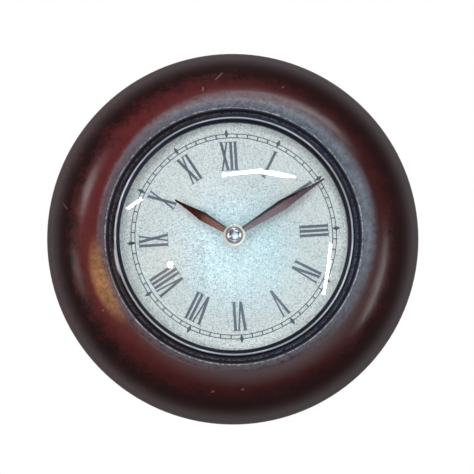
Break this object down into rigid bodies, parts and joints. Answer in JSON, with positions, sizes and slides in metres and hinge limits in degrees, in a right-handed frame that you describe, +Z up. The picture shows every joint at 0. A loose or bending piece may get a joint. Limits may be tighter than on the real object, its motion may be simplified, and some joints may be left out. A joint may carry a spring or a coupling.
{
  "type": "wall clock",
  "caption": "Round wall clock: turned dark wooden ring, domed glass in a dark metal bezel, Roman numeral dial, lance-shaped hands and a geared quartz movement behind the dial.",
  "frame": {"origin": "on the hands' axis, in the plane of the wall that the clock hangs on", "axes": "+Z up, +X to the right seen from the front, -Y out from the wall, so the dial looks along -Y"},
  "size_m": [0.203, 0.0397, 0.203],
  "materials": {
    "lacquered_wood": "dark red-brown satin lacquer with fine wear",
    "plywood": "bare plywood",
    "dark_metal": "near-black polished metal",
    "clear_glass": "clear polished",
    "dial_print": "matt printed paper, pale grey-green with a fine speckle",
    "copper_brown": "antique copper-brown plating, ridged",
    "chrome": "polished",
    "brass": "plain turned or pressed",
    "steel": "plain sheet",
    "zinc_steel": "zinc plated",
    "black_plastic": "fine matt moulding",
    "white_plastic": "smooth moulding",
    "black_rubber": "matt",
    "copper_wire": "enamelled copper wire",
    "circuit": "green circuit board",
    "magnet": "sintered grey",
    "cell_jacket": "plain blue-grey jacket"
  },
  "bodies": {
    "case": {"case_ring": "lacquered_wood", "dial_board": "plywood", "bezel": "dark_metal", "spacer_ring": "dark_metal", "domed_glass": "clear_glass", "dial_paper": "dial_print", "fixing_washer": "brass", "fixing_nut": "brass", "threaded_bushing": "brass", "contact_positive": "brass", "contact_negative": "brass", "stator": "steel", "coil_core": "steel", "board_screw_1": "zinc_steel", "board_screw_2": "zinc_steel", "board_screw_3": "zinc_steel", "board_screw_4": "zinc_steel", "hanger_plate": "zinc_steel", "hanger_screw_1": "zinc_steel", "hanger_screw_2": "zinc_steel", "quartz_crystal": "zinc_steel", "movement_front_shell": "black_plastic", "movement_back_cover": "black_plastic", "control_chip": "black_plastic", "train_plate": "white_plastic", "coil_bobbin": "white_plastic", "rubber_washer": "black_rubber", "coil_winding": "copper_wire", "circuit_board": "circuit", "battery_cell": "cell_jacket"},
    "minute": {"minute_hand": "copper_brown", "hand_cap": "chrome", "cannon_pinion": "brass"},
    "hour": {"hour_hand": "copper_brown", "hour_wheel": "white_plastic"},
    "setting": {"motion_wheel": "white_plastic", "setting_knob": "white_plastic"},
    "rotor": {"rotor_pinion": "white_plastic", "rotor_magnet": "magnet"},
    "fifth": {"fifth_wheel": "white_plastic"},
    "second": {"second_wheel": "white_plastic"},
    "third": {"third_wheel": "white_plastic"},
    "centre": {"centre_wheel": "white_plastic"}
  },
  "joints": [
    {"name": "minute_turn", "type": "hinge", "parent": "case", "child": "minute", "pos_m": [0, -0.03, 0], "axis": [0, 1, 0], "continuous": true},
    {"name": "hour_turn", "type": "hinge", "parent": "case", "child": "hour", "pos_m": [0, -0.029, 0], "axis": [0, 1, 0], "continuous": true},
    {"name": "setting_turn", "type": "hinge", "parent": "case", "child": "setting", "pos_m": [-0.00779, -0.016, 0.0045], "axis": [0, 1, 0], "continuous": true},
    {"name": "rotor_turn", "type": "hinge", "parent": "case", "child": "rotor", "pos_m": [0.00287, -0.009, 0.0146], "axis": [0, 1, 0], "continuous": true},
    {"name": "fifth_turn", "type": "hinge", "parent": "case", "child": "fifth", "pos_m": [-0.00073, -0.009, 0.00837], "axis": [0, 1, 0], "continuous": true},
    {"name": "second_turn", "type": "hinge", "parent": "case", "child": "second", "pos_m": [0, -0.01, 0], "axis": [0, 1, 0], "continuous": true},
    {"name": "third_turn", "type": "hinge", "parent": "case", "child": "third", "pos_m": [0.00735, -0.011, 0.00425], "axis": [0, 1, 0], "continuous": true},
    {"name": "centre_turn", "type": "hinge", "parent": "case", "child": "centre", "pos_m": [0, -0.0148, 0], "axis": [0, 1, 0], "continuous": true}
  ],
  "couplings": [
    {"joint": "hour_turn", "follows": "minute_turn", "ratio": 0.083333},
    {"joint": "setting_turn", "follows": "minute_turn", "ratio": -0.33333},
    {"joint": "fifth_turn", "follows": "rotor_turn", "ratio": -0.2},
    {"joint": "second_turn", "follows": "rotor_turn", "ratio": 0.033333},
    {"joint": "third_turn", "follows": "rotor_turn", "ratio": -0.0044444},
    {"joint": "centre_turn", "follows": "rotor_turn", "ratio": 0.00055556}
  ]
}
